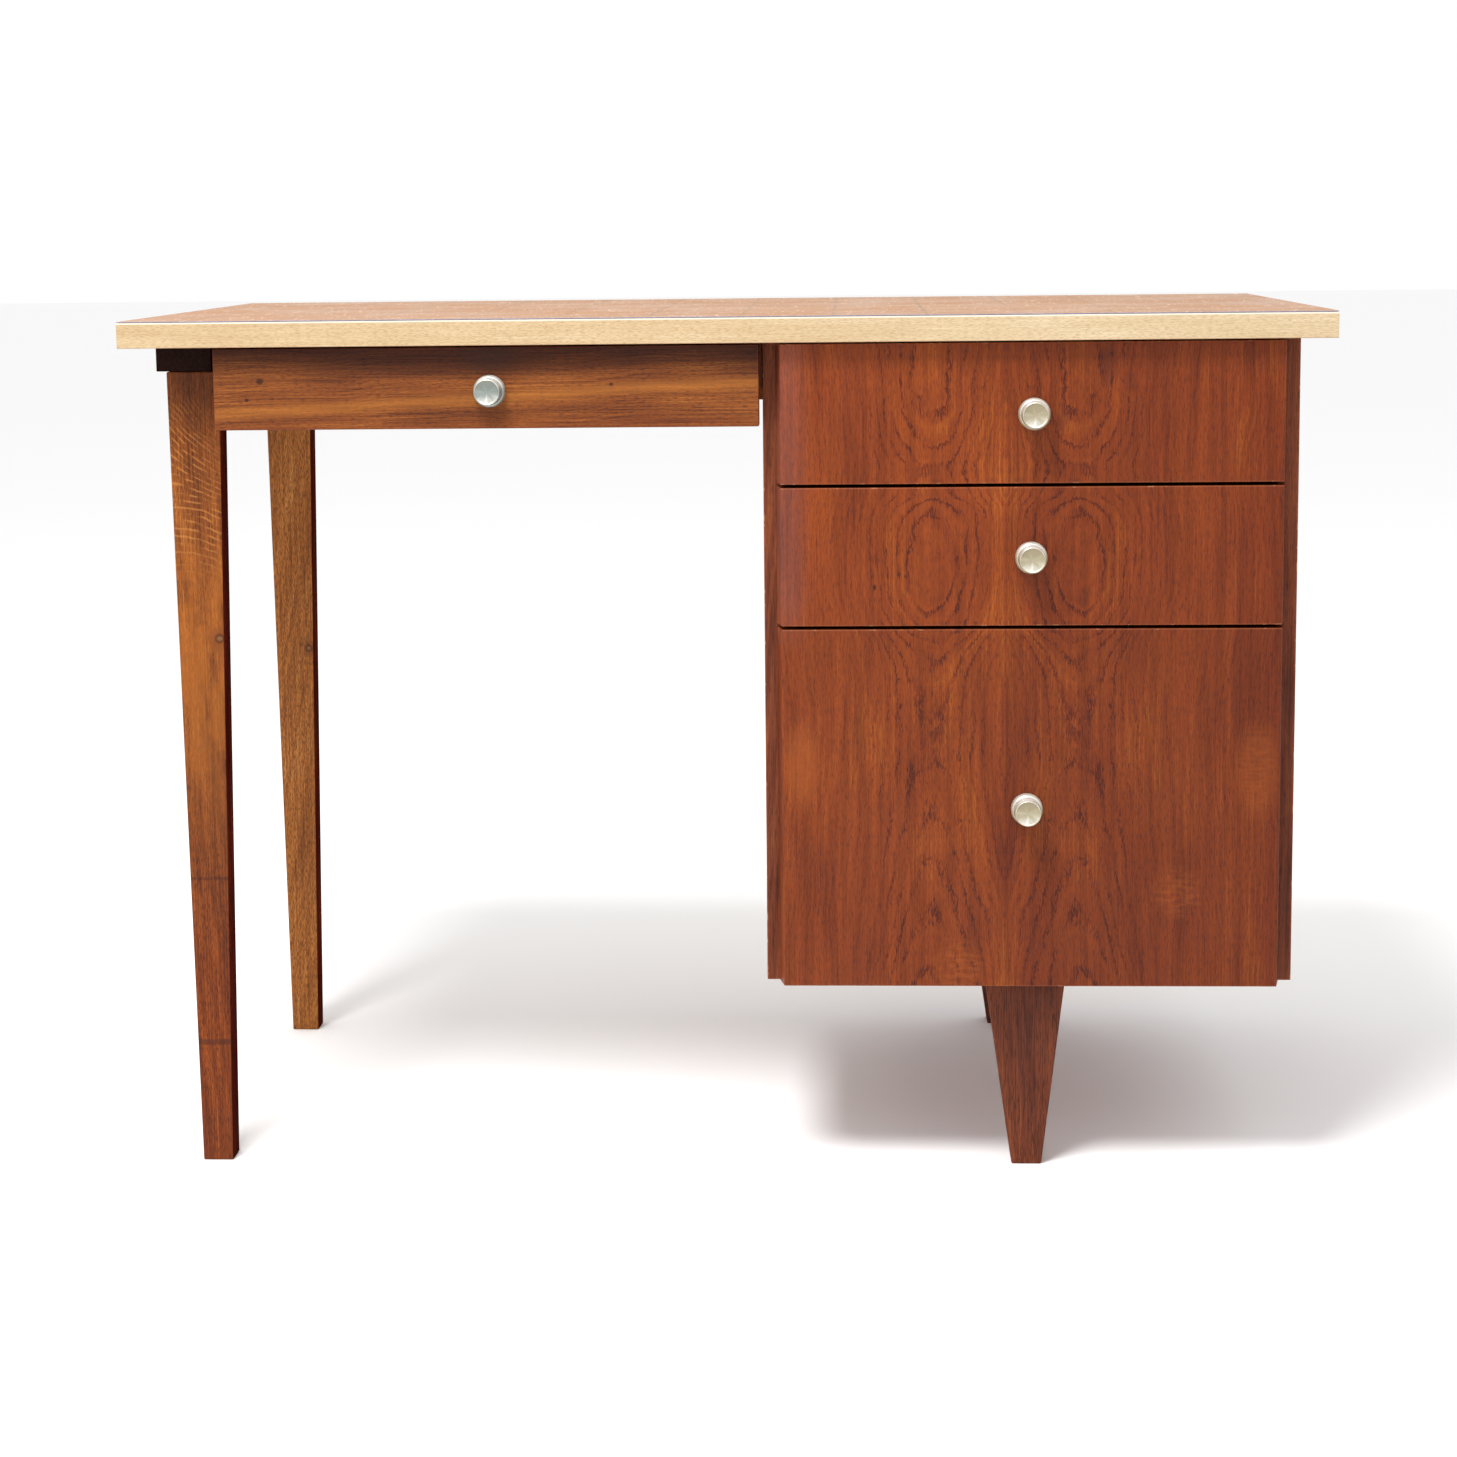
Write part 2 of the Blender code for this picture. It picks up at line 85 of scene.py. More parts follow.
class Shader:
    """One procedural material. A value may be a number or another node's output."""

    def __init__(self, name, roughness=0.5, metallic=0.0):
        self.material = bpy.data.materials.new(name)
        self.material.use_nodes = True
        self.tree = self.material.node_tree
        self.surface = self.tree.nodes["Principled BSDF"]
        self.surface.inputs["Roughness"].default_value = roughness
        self.surface.inputs["Metallic"].default_value = metallic
        self.surface.inputs["Specular IOR Level"].default_value = 0.16

    def plug(self, socket, value):
        if isinstance(value, bpy.types.NodeSocket):
            self.tree.links.new(value, socket)
        else:
            socket.default_value = value

    def set(self, name, value):
        self.plug(self.surface.inputs[name], value)

    def place(self, kind="Object"):
        """X, Y and Z of the point on the piece, in metres, or as shares of its own box."""
        node = self.tree.nodes.new("ShaderNodeTexCoord")
        split = self.tree.nodes.new("ShaderNodeSeparateXYZ")
        self.plug(split.inputs[0], node.outputs[kind])
        return split.outputs[0], split.outputs[1], split.outputs[2]

    def math(self, operation, *values):
        node = self.tree.nodes.new("ShaderNodeMath")
        node.operation = operation
        for socket, value in zip(node.inputs, values):
            self.plug(socket, value)
        return node.outputs[0]

    def scaled(self, value, factor, offset=0.0):
        return self.math("MULTIPLY_ADD", value, factor, offset)

    def swing(self, noise, width):
        """Noise moved and scaled to swing evenly about 0, over this width."""
        return self.scaled(noise, width, -width / 2)

    def hypot(self, a, b):
        return self.math("SQRT", self.math("ADD", self.math("MULTIPLY", a, a), self.math("MULTIPLY", b, b)))

    def vector(self, x, y, z):
        node = self.tree.nodes.new("ShaderNodeCombineXYZ")
        for socket, value in zip(node.inputs, (x, y, z)):
            self.plug(socket, value)
        return node.outputs[0]

    def noise(self, x, y, z, detail=2.0, roughness=0.5):
        """Smooth noise about 0.5, with one cell for each unit of x, y and z."""
        node = self.tree.nodes.new("ShaderNodeTexNoise")
        self.plug(node.inputs["Vector"], self.vector(x, y, z))
        node.inputs["Scale"].default_value = 1.0
        node.inputs["Detail"].default_value = detail
        node.inputs["Roughness"].default_value = roughness
        return node.outputs["Fac"]

    def mottle(self, cells, detail):
        """Noise over the piece, with this many cells to a metre each way."""
        x, y, z = self.place()
        return self.noise(self.scaled(x, cells), self.scaled(y, cells), self.scaled(z, cells), detail)

    def cells(self, x, y, z):
        """Distance from the nearest of scattered points, about one to each unit of x, y and z."""
        node = self.tree.nodes.new("ShaderNodeTexVoronoi")
        self.plug(node.inputs["Vector"], self.vector(x, y, z))
        node.inputs["Scale"].default_value = 1.0
        return node.outputs["Distance"]

    def smooth(self, value, low, high, out_low=0.0, out_high=1.0):
        """A smooth step from out_low at low to out_high at high."""
        node = self.tree.nodes.new("ShaderNodeMapRange")
        node.interpolation_type = "SMOOTHSTEP"
        for name, setting in (("Value", value), ("From Min", low), ("From Max", high),
                              ("To Min", out_low), ("To Max", out_high)):
            self.plug(node.inputs[name], setting)
        return node.outputs[0]

    def curve(self, value, points):
        """A smooth curve through (value, result) points, which all lie from 0 to 1."""
        node = self.tree.nodes.new("ShaderNodeFloatCurve")
        self.plug(node.inputs["Value"], value)
        line = node.mapping.curves[0]
        line.points[0].location = points[0]
        line.points[1].location = points[-1]
        for point in points[1:-1]:
            line.points.new(*point)
        node.mapping.update()
        return node.outputs[0]

    def mix(self, factor, first, second, blend="MIX"):
        node = self.tree.nodes.new("ShaderNodeMix")
        node.data_type = "RGBA"
        node.blend_type = blend
        self.plug(node.inputs[0], factor)
        self.plug(node.inputs[6], first)
        self.plug(node.inputs[7], second)
        return node.outputs[2]

    def ramp(self, value, stops):
        node = self.tree.nodes.new("ShaderNodeValToRGB")
        self.plug(node.inputs[0], value)
        elements = node.color_ramp.elements
        for element, (position, colour) in zip(elements, (stops[0], stops[-1])):
            element.position = position
            element.color = colour
        for position, colour in stops[1:-1]:
            elements.new(position).color = colour
        return node.outputs[0]

    def bump(self, height, depth):
        """Raises the surface by height (0 to 1) times depth in metres."""
        node = self.tree.nodes.new("ShaderNodeBump")
        node.inputs["Strength"].default_value = 1.0
        node.inputs["Distance"].default_value = depth
        self.plug(node.inputs["Height"], height)
        self.plug(self.surface.inputs["Normal"], node.outputs[0])


def grain_axes(s, along):
    """The point's two coordinates across the grain and the one along it."""
    x, y, z = s.place()
    return {"X": (y, z, x), "Y": (x, z, y), "Z": (x, y, z)}[along]


def timber(s, across, through, along, rings, look, line_strength=1.0):
    """The colour and surface height of open-grained wood.

    rings counts the growth rings from the heart, and look holds the colours and strengths. Streaks of colour
    follow the rings, and pores crowd into the start of each ring, which makes the broken dark lines of oak.
    """

    def grain(width, length, detail=2):
        """Noise drawn out along the grain, with cells of this width and length in metres."""
        return s.noise(s.scaled(across, 1 / width), s.scaled(through, 1 / width),
                       s.scaled(along, 1 / length), detail)

    ragged = s.scaled(grain(0.0011, 0.0065, 3), look["ragged"], rings)
    ring = s.math("FRACT", ragged)
    line = s.math("MAXIMUM", s.smooth(ring, 0.0, 0.26, 1.0, 0.0), s.smooth(ring, 0.93, 1.0))
    broken = s.smooth(grain(0.011, 0.030), 0.36, 0.62, 0.25, 1.0)
    line = s.math("MULTIPLY", s.math("MULTIPLY", line, broken), line_strength)
    fibre = grain(0.0013, 0.075, 3)
    tone = s.scaled(fibre, look["fibre"], 0.5 - look["fibre"] / 2)
    for rings_wide, length, name in ((0.42, 0.16, "streak"), (3.0, 0.30, "band")):
        streak = s.noise(s.scaled(rings, 1 / rings_wide), s.scaled(across, 12), s.scaled(along, 1 / length))
        tone = s.math("ADD", tone, s.swing(streak, look[name]))
    tone = s.math("ADD", tone, s.swing(grain(0.040, 0.11), look["cloud"]))
    tone = s.math("SUBTRACT", tone, s.scaled(line, look["line"]))
    colour = s.ramp(tone, list(zip((0.10, 0.36, 0.60, 0.90), look["colours"])))
    pore = s.smooth(grain(*look["pore_size"], 1), look["pore_start"], look["pore_start"] + 0.09)
    crowd = s.scaled(line, 1 - look["late_pores"], look["late_pores"])
    ink = s.math("MULTIPLY", s.math("MULTIPLY", pore, crowd), look["pore"])
    colour = s.mix(ink, colour, look["pore_colour"])
    height = s.math("SUBTRACT", s.scaled(fibre, 0.35, 0.5), s.math("MULTIPLY", pore, s.scaled(crowd, 0.6)))
    return colour, height


def rings_about(s, across, through, along, heart, spacing, lean, wander):
    """Growth rings about a heart at (across, through), which leans as it goes along the board."""
    drift = s.noise(s.scaled(across, 5), s.scaled(through, 5), s.scaled(along, 2.4), detail=2)
    drift = s.swing(drift, 2 * wander)
    a = s.math("SUBTRACT", across, s.scaled(along, lean[0], heart[0]))
    b = s.math("SUBTRACT", through, s.scaled(along, lean[1], heart[1]))
    return s.scaled(s.math("ADD", s.hypot(a, b), drift), 1 / spacing)


def edge_share(s, size, width):
    """1 on the piece's arrises and 0 further than width from them, for a box of this size."""
    shares = s.place("Generated")
    distances = []
    for share, length in zip(shares, size):
        nearer = s.math("MINIMUM", share, s.math("SUBTRACT", 1.0, share))
        distances.append(s.scaled(nearer, length))
    total = s.math("ADD", s.math("ADD", distances[0], distances[1]), distances[2])
    least = s.math("MINIMUM", s.math("MINIMUM", distances[0], distances[1]), distances[2])
    most = s.math("MAXIMUM", s.math("MAXIMUM", distances[0], distances[1]), distances[2])
    second = s.math("SUBTRACT", s.math("SUBTRACT", total, least), most)
    return s.smooth(second, 0.0, width, 1.0, 0.0)


def chipped(s, colour, size, share):
    """Lightens the arrises where they are worn, and shows pale wood where they are chipped."""
    edge = edge_share(s, size, WORN_WIDTH)
    colour = s.mix(s.scaled(edge, 0.30), colour, linear(166, 98, 66))
    chip = s.math("MULTIPLY", s.smooth(s.mottle(130, 4), 0.60, 0.64), s.smooth(edge, 0.25, 0.6))
    return s.mix(s.scaled(chip, share), colour, linear(186, 140, 104))


def tones(*colours):
    """Colours from dark to light, each given as the eye reads it."""
    return tuple(linear(*colour) for colour in colours)


VENEER = {
    "colours": tones((78, 30, 16), (113, 48, 18), (127, 57, 19), (156, 85, 26)),
    "pore_colour": linear(60, 24, 17), "pore": 0.90, "pore_size": (0.0006, 0.0070), "pore_start": 0.535,
    "late_pores": 0.45, "ragged": 1.0, "cloud": 0.55, "band": 0.50, "streak": 0.45, "fibre": 0.55,
    "line": 0.46,
}
SIDE_VENEER = dict(VENEER, cloud=0.30, band=0.45, streak=0.6)
OAK = {
    "colours": tones((66, 30, 14), (106, 54, 22), (132, 72, 28), (170, 104, 45)),
    "pore_colour": linear(54, 25, 13), "pore": 0.80, "pore_size": (0.0007, 0.009), "pore_start": 0.52,
    "late_pores": 0.80, "ragged": 0.9, "cloud": 0.8, "band": 0.7, "streak": 0.7, "fibre": 0.8, "line": 0.12,
}
REAR_OAK = dict(OAK, colours=tones((98, 54, 21), (138, 81, 33), (158, 97, 42), (188, 128, 66)),
                pore_colour=linear(84, 44, 20), pore=0.75, pore_size=(0.0006, 0.0050), pore_start=0.49,
                late_pores=0.9, cloud=0.4, band=0.3, streak=0.6, fibre=1.1, line=0.05)
FRONT_LEG_OAK = dict(OAK, colours=tones((66, 30, 14), (107, 55, 21), (134, 73, 27), (170, 103, 42)),
                     pore=0.70, pore_size=(0.0005, 0.0060), cloud=0.3, band=0.4, fibre=1.0)
CENTRE_OAK = dict(OAK, pore=0.62, pore_size=(0.0005, 0.0055), cloud=0.5, band=0.5, streak=0.45, fibre=0.8,
                  line=0.22)
DARK_OAK = {
    "colours": tones((64, 28, 17), (90, 42, 24), (106, 51, 28), (130, 68, 38)),
    "pore_colour": linear(42, 18, 13), "pore": 0.80, "pore_size": (0.0008, 0.011), "pore_start": 0.54,
    "late_pores": 0.7, "ragged": 0.8, "cloud": 0.7, "band": 0.7, "streak": 0.8, "fibre": 0.9, "line": 0.12,
}
EDGE_OAK = dict(DARK_OAK, colours=tones((70, 31, 18), (96, 45, 26), (113, 56, 31), (136, 72, 40)),
                pore=0.5)
# Painted shade: a darker maroon oak for the legs' inner sides, which face away from the light
MAROON_PAINTED_SHADE_OAK = dict(DARK_OAK, colours=tones((44, 12, 9), (64, 20, 14), (78, 28, 18), (104, 48, 30)),
                  pore_colour=linear(30, 9, 8))
PALE = {
    "colours": tones((160, 118, 72), (188, 150, 102), (204, 170, 122), (222, 192, 148)),
    "pore_colour": linear(130, 90, 54), "pore": 0.40, "pore_size": (0.0007, 0.009), "pore_start": 0.58,
    "late_pores": 0.5, "ragged": 0.3, "cloud": 0.8, "band": 0.8, "streak": 0.8, "fibre": 0.7, "line": 0.16,
}
BAND = {
    "colours": tones((172, 144, 106), (184, 159, 122), (191, 167, 131), (203, 184, 152)),
    "pore_colour": linear(156, 124, 84), "pore": 0.55, "pore_size": (0.0006, 0.0045), "pore_start": 0.52,
    "late_pores": 0.9, "ragged": 0.3, "cloud": 0.35, "band": 0.3, "streak": 0.4, "fibre": 0.8, "line": 0.03,
}


VARNISH_SPREAD = 0.10


def varnish(s, base):
    """A worn varnish: roughness that varies in soft patches."""
    s.set("Roughness", s.smooth(s.mottle(14, 4), 0.3, 0.7, base - VARNISH_SPREAD, base + VARNISH_SPREAD))


# The cabinet fronts' veneer: two leaves opened like a book about a joint, cut flat so that rings close into
# eyes. The curve runs from the lowest front's foot to the highest front's top. It gives how far the rings'
# heart lies behind the leaf, beyond HEART_DEPTH and as a share of HEART_RANGE.
LEAF_JOINT = 0.244
FIGURE_FROM_JOINT = 0.064
RIGHT_LEAF_EDGE = 0.446
HEART_DEPTH = 0.058
HEART_RANGE = 0.024
HEART_CURVE = [(0.0, 0.17), (0.174, 0.52), (0.283, 0.77), (0.407, 0.92), (0.495, 0.80), (0.571, 0.35),
               (0.615, 0.14), (0.659, 0.083), (0.703, 0.13), (0.747, 0.27), (0.804, 0.56), (0.824, 0.50),
               (0.866, 0.31), (0.919, 0.17), (1.0, 0.12)]
RING_SPACING = 0.0042
FIRST_RING = 0.0612
FIGURE_HALF_WIDTH = 0.060  # past which the veneer is straight-grained
FIGURE_WANDER = 0.030  # of the figure's middle, from side to side
RING_RIPPLE = 0.0045
LEAF_BLEND = 0.0004  # half the width over which one leaf's tint gives way to the next

# Painted light: the upper and middle fronts are made a little brighter than the lower one. They start above
# this height
UPPER_FRONTS_START = 0.489
UPPER_FRONTS_PAINTED_LIGHT = (1.12, 1.12, 1.08, 1.0)

# A painted reflection: a grey sheen near the cabinet's left side, which fades out rightwards and downwards
# over these spans
REFLECTION_ACROSS = (0.055, 0.080)
REFLECTION_UP = (0.46, 0.52)

# Where the varnish is rubbed pale: place and half size in X and Z, and strength
VENEER_WEAR = (((0.463, 0.362), (0.024, 0.056), 0.42), ((0.066, 0.368), (0.020, 0.050), 0.30),
               ((0.395, 0.255), (0.030, 0.030), 0.06), ((0.205, 0.185), (0.030, 0.035), 0.08))

# Dents and stains of the veneer: place and half size in X and Z, and how dark they are
VENEER_SPOTS = (((0.1305, 0.5255), (0.0022, 0.0036), 0.85), ((0.1520, 0.5370), (0.0020, 0.0030), 0.70),
                ((0.1575, 0.5350), (0.0018, 0.0022), 0.60), ((0.3320, 0.7180), (0.0120, 0.0240), 0.34),
                ((0.3500, 0.7020), (0.0070, 0.0140), 0.24), ((0.1150, 0.3950), (0.0080, 0.0320), 0.16),
                ((0.3120, 0.5150), (0.0060, 0.0140), 0.26), ((0.2930, 0.6700), (0.0080, 0.0110), 0.24))


def knot(s, x, z, place, size):
    """How near the point is to a small oval mark: 1 in its middle and 0 outside it."""
    a = s.scaled(s.math("SUBTRACT", x, place[0]), 1 / size[0])
    b = s.scaled(s.math("SUBTRACT", z, place[1]), 1 / size[1])
    return s.smooth(s.hypot(a, b), 0.35, 1.0, 1.0, 0.0)


def veneer_material(name, size):
    """The three cabinet fronts' veneer, which runs on from one to the next."""
    s = Shader(name)
    x, y, z = s.place()
    low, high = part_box("lower_drawer_front")[0].z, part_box("upper_drawer_front")[1].z
    share = s.scaled(z, 1 / (high - low), -low / (high - low))
    depth = s.scaled(s.curve(share, HEART_CURVE), HEART_RANGE, HEART_DEPTH)
    fold = s.math("ABSOLUTE", s.math("SUBTRACT", x, LEAF_JOINT))
    drift = s.noise(s.scaled(fold, 16), 3.0, s.scaled(z, 7), detail=2)
    aside = s.math("ADD", s.math("SUBTRACT", fold, FIGURE_FROM_JOINT), s.swing(drift, FIGURE_WANDER))
    lift = s.noise(s.scaled(fold, 50), 5.0, s.scaled(z, 36), detail=2)
    radius = s.math("ADD", s.hypot(aside, depth), s.swing(lift, RING_RIPPLE))
    rings = s.scaled(radius, 1 / RING_SPACING, 50 - FIRST_RING / RING_SPACING)
    plain = s.smooth(s.math("ABSOLUTE", aside), 0.5 * FIGURE_HALF_WIDTH, FIGURE_HALF_WIDTH, 1.0, 0.35)
    colour, height = timber(s, fold, y, z, rings, VENEER, plain)
    own = s.noise(s.scaled(x, 120), 0.0, s.scaled(z, 6), detail=3)
    colour = s.mix(s.smooth(own, 0.35, 0.68, 0.0, 0.5), colour, linear(196, 190, 190), "MULTIPLY")
    for place, spot, strength in VENEER_WEAR:
        rubbed = s.noise(s.scaled(x, 90), 0.0, s.scaled(z, 260), detail=3)
        rubbed = s.math("MULTIPLY", knot(s, x, z, place, spot), s.smooth(rubbed, 0.38, 0.60, 0.25, strength))
        colour = s.mix(rubbed, colour, linear(166, 88, 34))
    # Painted light: the upper and middle fronts brightened above the lower one
    upper = s.smooth(z, UPPER_FRONTS_START, UPPER_FRONTS_START + 0.001)
    colour = s.mix(upper, colour, UPPER_FRONTS_PAINTED_LIGHT, "MULTIPLY")
    right = s.smooth(x, LEAF_JOINT - LEAF_BLEND, LEAF_JOINT + LEAF_BLEND)
    colour = s.mix(s.scaled(right, 0.55), colour, linear(222, 214, 226), "MULTIPLY")
    edge_leaf = s.smooth(x, RIGHT_LEAF_EDGE - LEAF_BLEND, RIGHT_LEAF_EDGE + LEAF_BLEND)
    colour = s.mix(s.scaled(edge_leaf, 0.45), colour, linear(222, 204, 204), "MULTIPLY")
    # Painted reflection of the light on the varnish, grey near the cabinet's left side
    painted_reflection = s.math("MULTIPLY", s.smooth(x, *REFLECTION_ACROSS, 0.09, 0.0), s.smooth(z, *REFLECTION_UP))
    colour = s.mix(painted_reflection, colour, linear(150, 120, 124))
    for place, spot, strength in VENEER_SPOTS:
        colour = s.mix(s.scaled(knot(s, x, z, place, spot), strength), colour, linear(44, 20, 20))
    colour = chipped(s, colour, size, 0.3)
    s.set("Base Color", colour)
    s.bump(height, 0.00012)
    varnish(s, 0.42)
    return s.material


def board_material(name, look, along, heart, spacing, lean=(0.02, 0.01), wander=0.006, size=None, chips=0.5,
                   roughness=0.48, specular=None):
    s = Shader(name)
    across, through, length = grain_axes(s, along)
    rings = rings_about(s, across, through, length, heart, spacing, lean, wander)
    colour, height = timber(s, across, through, length, rings, look)
    if size:
        colour = chipped(s, colour, size, chips)
    if specular is not None:
        s.set("Specular IOR Level", specular)
    s.set("Base Color", colour)
    s.bump(height, 0.00014)
    varnish(s, roughness)
    return s.material


# The edge band: paler towards the right over this span, with a painted highlight along its top and darker at
# its foot
BAND_RIGHT_SPAN = (-0.15, 0.35)
BAND_RIGHT_TINT = (1.06, 1.11, 1.19, 1.0)
BAND_HIGHLIGHT_LINE = (0.0017, 0.0010)  # below the top, where the painted highlight line starts and is full
BAND_FOOT_DARKENING = (0.0003, 0.0009)  # above the foot, where the darkening is full and ends


def band_material(name, along, node):
    """Beech-like edge band, with a bright line painted along its top as the highlight of its rounded arris.
    """
    s = Shader(name)
    low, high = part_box(node)
    across, through, length = grain_axes(s, along)
    rings = rings_about(s, across, through, length, (0.9, 0.3), 0.0045, (0.004, 0.002), 0.012)
    colour, height = timber(s, across, through, length, rings, BAND)
    x, _, z = s.place()
    colour = s.mix(s.smooth(x, *BAND_RIGHT_SPAN), colour, BAND_RIGHT_TINT, "MULTIPLY")
    # Painted highlight: a bright line along the band's top arris
    painted_highlight = s.smooth(z, high.z - BAND_HIGHLIGHT_LINE[0], high.z - BAND_HIGHLIGHT_LINE[1])
    colour = s.mix(s.scaled(painted_highlight, 0.85), colour, linear(220, 212, 198))
    # Darker towards the band's foot
    foot = s.smooth(z, low.z + BAND_FOOT_DARKENING[0], low.z + BAND_FOOT_DARKENING[1], 0.5, 0.0)
    colour = s.mix(foot, colour, linear(150, 90, 66))
    s.set("Base Color", colour)
    s.bump(height, 0.00008)
    varnish(s, 0.42)
    return s.material


LAMINATE_STRIPE_PITCH = 0.080
LAMINATE_STRIPE_PHASE = 0.3  # puts a stripe 0.2 of a pitch right of the desk's middle


def laminate_material():
    """Tan laminate with a fine white speckle, faint stripes across the desk and thin scratches along it."""
    s = Shader("laminate_face")
    x, y, _ = s.place()
    cloud = s.noise(s.scaled(x, 5), s.scaled(y, 7), 0.0, detail=3)
    fleck = s.noise(s.scaled(x, 500), s.scaled(y, 500), 0.0, detail=3)
    colour = s.ramp(cloud, [(0.35, linear(157, 111, 70)), (0.65, linear(164, 119, 79))])
    colour = s.mix(s.smooth(fleck, 0.30, 0.70, 0.0, 0.5), colour, linear(146, 98, 62))
    speck = s.cells(s.scaled(x, 320), s.scaled(y, 66), 0.0)
    few = s.noise(s.scaled(x, 140), s.scaled(y, 34), 4.0, detail=3)
    speck = s.math("MULTIPLY", s.smooth(speck, 0.22, 0.42, 1.0, 0.0), s.smooth(few, 0.51, 0.60))
    colour = s.mix(s.scaled(speck, 0.66), colour, linear(226, 204, 180))
    stripe = s.math("FRACT", s.scaled(x, 1 / LAMINATE_STRIPE_PITCH, LAMINATE_STRIPE_PHASE))
    stripe = s.math("ABSOLUTE", s.scaled(stripe, 1.0, -0.5))
    fade = s.smooth(s.noise(s.scaled(x, 9), s.scaled(y, 9), 6.0), 0.35, 0.6, 0.20, 0.60)
    stripe = s.math("MULTIPLY", s.smooth(stripe, 0.0, 0.035, 1.0, 0.0), fade)
    colour = s.mix(stripe, colour, linear(120, 92, 64))
    scratch = s.noise(s.scaled(x, 14), s.scaled(y, 260), 9.0, detail=2)
    where = s.noise(s.scaled(x, 5), s.scaled(y, 12), 2.0, detail=2)
    scratch = s.math("MULTIPLY", s.smooth(scratch, 0.62, 0.68), s.smooth(where, 0.48, 0.60))
    colour = s.mix(s.scaled(scratch, 0.50), colour, linear(220, 204, 188))
    s.set("Base Color", colour)
    s.bump(s.math("SUBTRACT", s.scaled(fleck, 0.4), s.scaled(scratch, 0.3)), 0.00005)
    smudge = s.noise(s.scaled(x, 11), s.scaled(y, 11), 1.0, detail=4)
    s.set("Roughness", s.smooth(smudge, 0.3, 0.7, 0.34, 0.48))
    return s.material


def plain_material(name, dark, light, scale, roughness, stretch=(1, 1, 1), specular=None):
    """Two close tones in a fine mottle, for what has no clear grain."""
    s = Shader(name)
    if specular is not None:
        s.set("Specular IOR Level", specular)
    x, y, z = s.place()
    place = [s.scaled(value, scale * share) for value, share in zip((x, y, z), stretch)]
    mottle = s.noise(*place, detail=5, roughness=0.65)
    s.set("Base Color", s.ramp(mottle, [(0.30, dark), (0.70, light)]))
    s.set("Roughness", s.smooth(mottle, 0.3, 0.7, roughness - 0.08, roughness + 0.08))
    s.bump(mottle, 0.0001)
    return s.material


def chipboard_material():
    """Pressed flakes of wood in several tones."""
    s = Shader("chipboard_face")
    x, y, z = s.place()
    warped = s.math("ADD", s.scaled(y, 330), s.scaled(s.mottle(90, 3), 2))
    flake = s.cells(s.scaled(x, 210), warped, s.scaled(z, 700))
    grain = s.noise(s.scaled(x, 800), s.scaled(y, 500), s.scaled(z, 900), detail=3)
    tone = s.math("ADD", s.scaled(flake, 0.6), s.scaled(grain, 0.5))
    s.set("Base Color", s.ramp(tone, [(0.30, linear(128, 96, 62)), (0.55, linear(176, 142, 98)),
                                      (0.90, linear(206, 176, 130))]))
    s.set("Roughness", s.smooth(tone, 0.2, 0.9, 0.75, 0.95))
    s.bump(tone, 0.0003)
    return s.material


# The knobs' colours. Their dark shade ends and bright ends are painted reflection and highlight.
KNOB_SHADE = (0.30, 0.255, 0.165, 1.0)
KNOB_METAL = (0.45, 0.40, 0.285, 1.0)
KNOB_PAINTED_HIGHLIGHT = (0.84, 0.83, 0.78, 1.0)
KNOB_SOIL = (0.30, 0.25, 0.15, 1.0)
COOL_SHADE = (0.19, 0.215, 0.195, 1.0)
COOL_METAL = (0.31, 0.34, 0.32, 1.0)
DISH_EDGE = (0.372, 0.382)  # from the knob's axis, as shares of its width
DISH_BACK = (0.14, 0.18)  # from the knob's face, as shares of its length


def turned_metal(name, shade=KNOB_SHADE, metal=KNOB_METAL):
    """Satin nickel turned about Y, with painted reflections: a dish brighter downwards in soft rays, and a
    flare bright at its top.
    """
    s = Shader(name, 0.28, 0.55)
    gx, gy, gz = s.place("Generated")
    a, b = s.scaled(gx, 1.0, -0.5), s.scaled(gz, 1.0, -0.5)
    radius = s.hypot(a, b)
    steady = s.math("MAXIMUM", radius, 0.02)
    turn_x, turn_z = s.math("DIVIDE", a, steady), s.math("DIVIDE", b, steady)
    rays = s.noise(s.scaled(turn_x, 1.3, 3.7), s.scaled(turn_z, 1.3, 1.2), 0.0, detail=2)
    marks = s.noise(s.scaled(radius, 130), s.scaled(gy, 60), 0.0, detail=3)
    soil = s.noise(s.scaled(gx, 3), s.scaled(gy, 3), s.scaled(gz, 3), detail=4)
    # Painted reflection: the dish darker upwards and brighter downwards in soft rays
    downwards = s.math("ADD", s.scaled(b, -1.7), s.swing(rays, 1.1))
    dish = s.ramp(s.smooth(downwards, -0.50, 0.85), [(0.0, shade), (0.5, metal), (1.0, KNOB_PAINTED_HIGHLIGHT)])
    # Painted highlight: the flare brighter at its top
    upwards = s.math("ADD", s.scaled(turn_z, 0.5), s.swing(rays, 0.4))
    flare = s.ramp(s.smooth(upwards, -0.05, 0.5), [(0.0, metal), (1.0, KNOB_PAINTED_HIGHLIGHT)])
    on_dish = s.math("MULTIPLY", s.smooth(radius, *DISH_EDGE, 1.0, 0.0), s.smooth(gy, *DISH_BACK, 1.0, 0.0))
    colour = s.mix(on_dish, flare, dish)
    s.set("Base Color", s.mix(s.smooth(soil, 0.40, 0.75, 0.0, 0.4), colour, KNOB_SOIL))
    s.set("Roughness", s.smooth(marks, 0.2, 0.8, 0.26, 0.40))
    s.set("Anisotropic", 0.5)
    tangent = s.tree.nodes.new("ShaderNodeTangent")
    tangent.direction_type = "RADIAL"
    tangent.axis = "Y"
    s.plug(s.surface.inputs["Tangent"], tangent.outputs[0])
    s.bump(marks, 0.00002)
    return s.material


